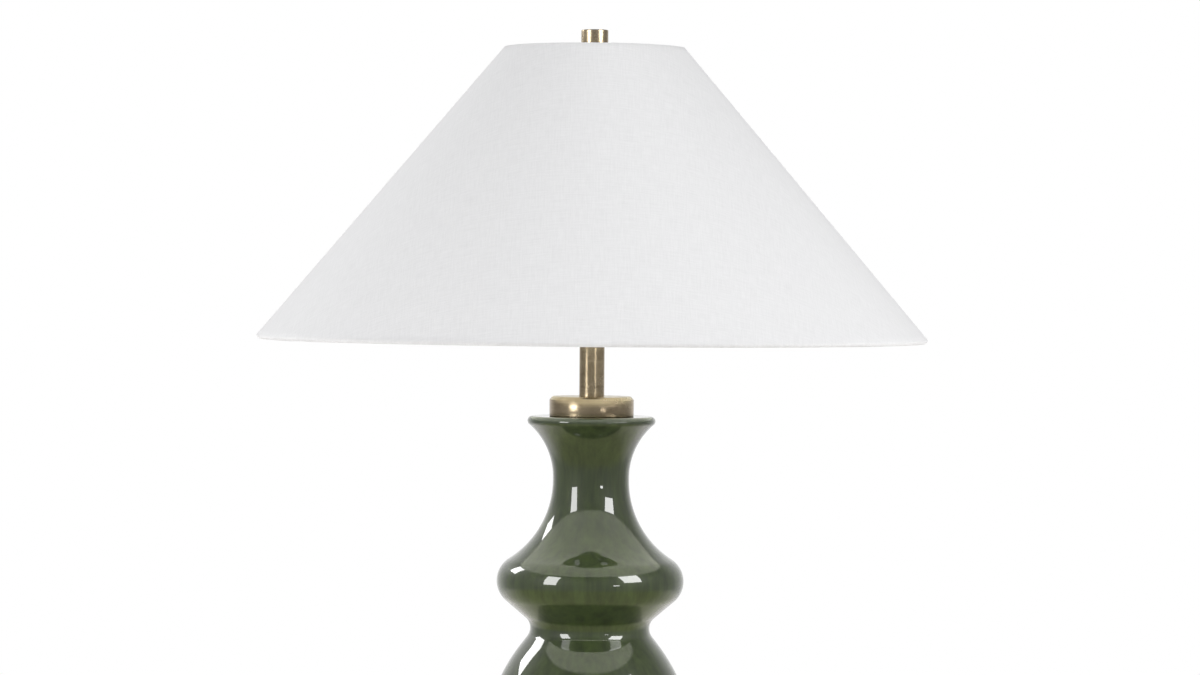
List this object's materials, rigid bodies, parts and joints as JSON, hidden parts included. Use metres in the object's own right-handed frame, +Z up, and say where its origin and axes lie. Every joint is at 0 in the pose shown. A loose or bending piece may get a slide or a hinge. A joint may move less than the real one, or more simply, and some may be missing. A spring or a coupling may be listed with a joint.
{
  "type": "table lamp",
  "caption": "Table lamp with a glazed double-gourd ceramic body, a brass cap, neck, finial and foot, and a wide cone shade carried by a wire harp.",
  "frame": {"origin": "on the lamp's axis, in the plane of the felt that the lamp stands on", "axes": "+Z up along the lamp's axis, -Y to the front, where the switch knob is, +X to the right as seen from the front"},
  "size_m": [0.5074, 0.5072, 0.712],
  "materials": {
    "glaze": "high gloss green glaze",
    "antique_brass": "brushed and browned brass",
    "bright_brass": "plain brass plating",
    "linen": "fine linen laminated to white styrene",
    "ring_steel": "zinc-plated wire",
    "felt": "dense felt",
    "iron": "rough cast",
    "zinc_steel": "zinc-plated steel",
    "rubber": "matt black",
    "black_plastic": "moulded phenolic",
    "insulating_card": "pressed paper tube",
    "screw_shell_metal": "bright drawn sheet"
  },
  "bodies": {
    "lamp": {"felt_pad": "felt", "brass_base": "antique_brass", "base_weight": "iron", "cord_bushing": "black_plastic", "base_washer": "zinc_steel", "base_nut": "zinc_steel", "ceramic_body": "glaze", "lamp_pipe": "zinc_steel", "mouth_plug": "rubber", "vase_cap": "antique_brass", "neck_tube": "antique_brass", "neck_ring": "antique_brass", "harp_saddle": "bright_brass", "harp_loop": "bright_brass", "harp_stud": "bright_brass", "socket_cap": "bright_brass", "socket_shell": "bright_brass", "socket_liner": "insulating_card", "switch_block": "black_plastic", "terminal_screws": "bright_brass", "screw_shell": "screw_shell_metal", "centre_contact": "bright_brass"},
    "switch": {"switch_spindle": "zinc_steel", "switch_knob": "black_plastic"},
    "sleeve_left": {"harp_sleeve_left": "bright_brass"},
    "sleeve_right": {"harp_sleeve_right": "bright_brass"},
    "shade": {"shade_cover": "linen", "shade_bottom_ring": "ring_steel", "shade_top_ring": "ring_steel", "spider_arms": "ring_steel", "spider_washer": "ring_steel"},
    "finial_core": {"finial_insert": "bright_brass"},
    "finial": {"finial_barrel": "antique_brass"}
  },
  "joints": [
    {"name": "switch_turn", "type": "hinge", "parent": "lamp", "child": "switch", "pos_m": [0, 0, 0.50778], "axis": [0, -1, 0], "continuous": true},
    {"name": "sleeve_left_slide", "type": "slide", "parent": "lamp", "child": "sleeve_left", "axis": [0, 0, 1], "range_m": [0, 0.012]},
    {"name": "sleeve_right_slide", "type": "slide", "parent": "lamp", "child": "sleeve_right", "axis": [0, 0, 1], "range_m": [0, 0.012]},
    {"name": "shade_turn", "type": "hinge", "parent": "lamp", "child": "shade", "pos_m": [0, 0, 0.68628], "axis": [0, 0, 1], "continuous": true},
    {"name": "finial_lift", "type": "slide", "parent": "lamp", "child": "finial_core", "axis": [0, 0, 1], "range_m": [0, 0.0095]},
    {"name": "finial_turn", "type": "hinge", "parent": "finial_core", "child": "finial", "pos_m": [0, 0, 0.69], "axis": [0, 0, 1], "range_deg": [0, 3600]}
  ],
  "couplings": [
    {"joint": "finial_lift", "follows": "finial_turn", "m_per_rad": 0.00014972}
  ]
}
